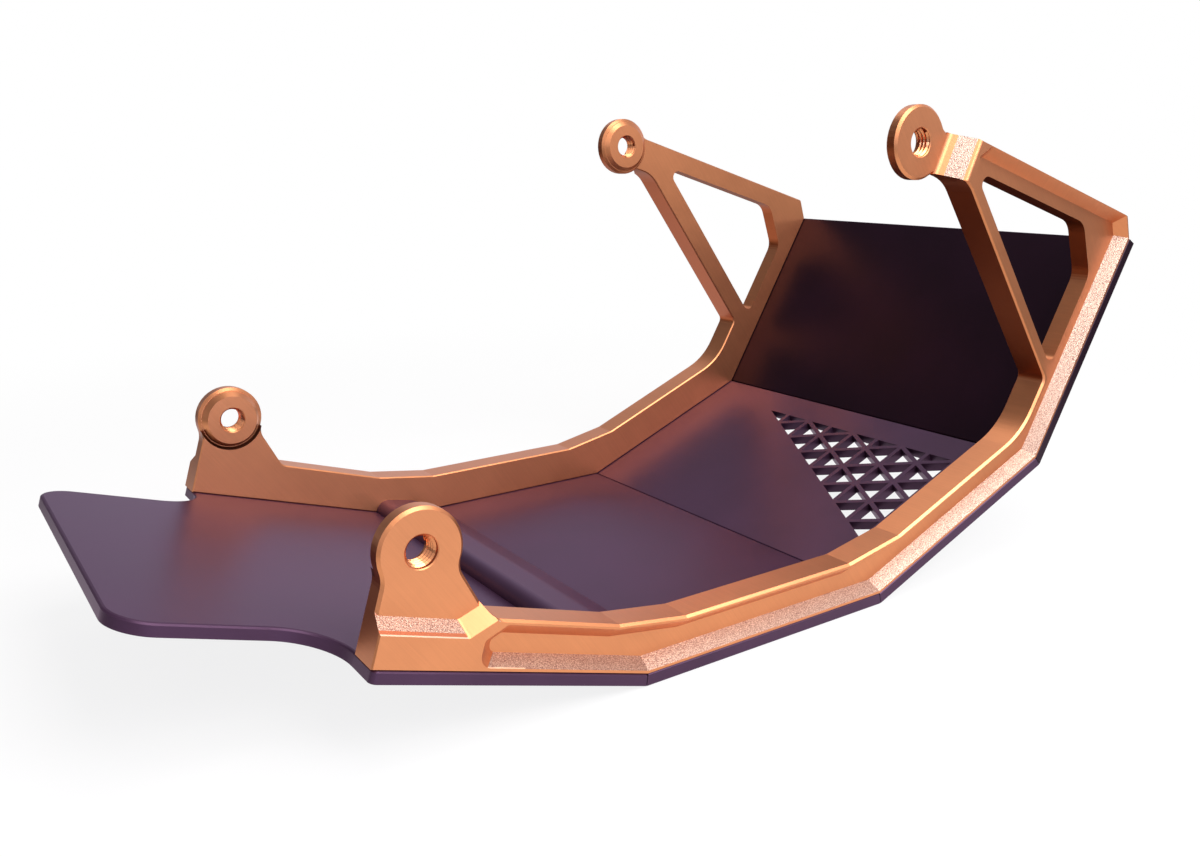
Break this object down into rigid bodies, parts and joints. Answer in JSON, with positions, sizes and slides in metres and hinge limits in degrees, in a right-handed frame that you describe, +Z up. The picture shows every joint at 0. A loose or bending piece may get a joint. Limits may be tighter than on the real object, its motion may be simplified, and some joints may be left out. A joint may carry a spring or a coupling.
{
  "type": "motorcycle skid plate",
  "caption": "Bent underside guard for a motorcycle engine: flat plates between milled side rails with threaded lugs and open brackets",
  "frame": {"origin": "on the middle plane, on the flat underside of the lower plate, below the first bend between rear plate and lower plate", "axes": "+X forwards towards the raised front plate, +Y to the left, +Z up; the lower plate lies level"},
  "size_m": [0.4046, 0.203, 0.1806],
  "materials": {
    "rails": "copper-coloured anodised, fine milled satin",
    "plates": "dark violet-grey anodised, satin",
    "screws": "black oxide"
  },
  "bodies": {
    "root": {"right_rail": "rails", "left_rail": "rails", "rear_plate": "plates", "lower_plate": "plates", "grille_plate": "plates", "front_plate": "plates", "cross_bar": "plates", "cross_bar_screws": "screws", "rear_plate_screws_right": "screws", "rear_plate_screws_left": "screws", "lower_plate_screws_right": "screws", "lower_plate_screws_left": "screws", "grille_plate_screws_right": "screws", "grille_plate_screws_left": "screws", "front_plate_screws_right": "screws", "front_plate_screws_left": "screws"}
  },
  "joints": []
}
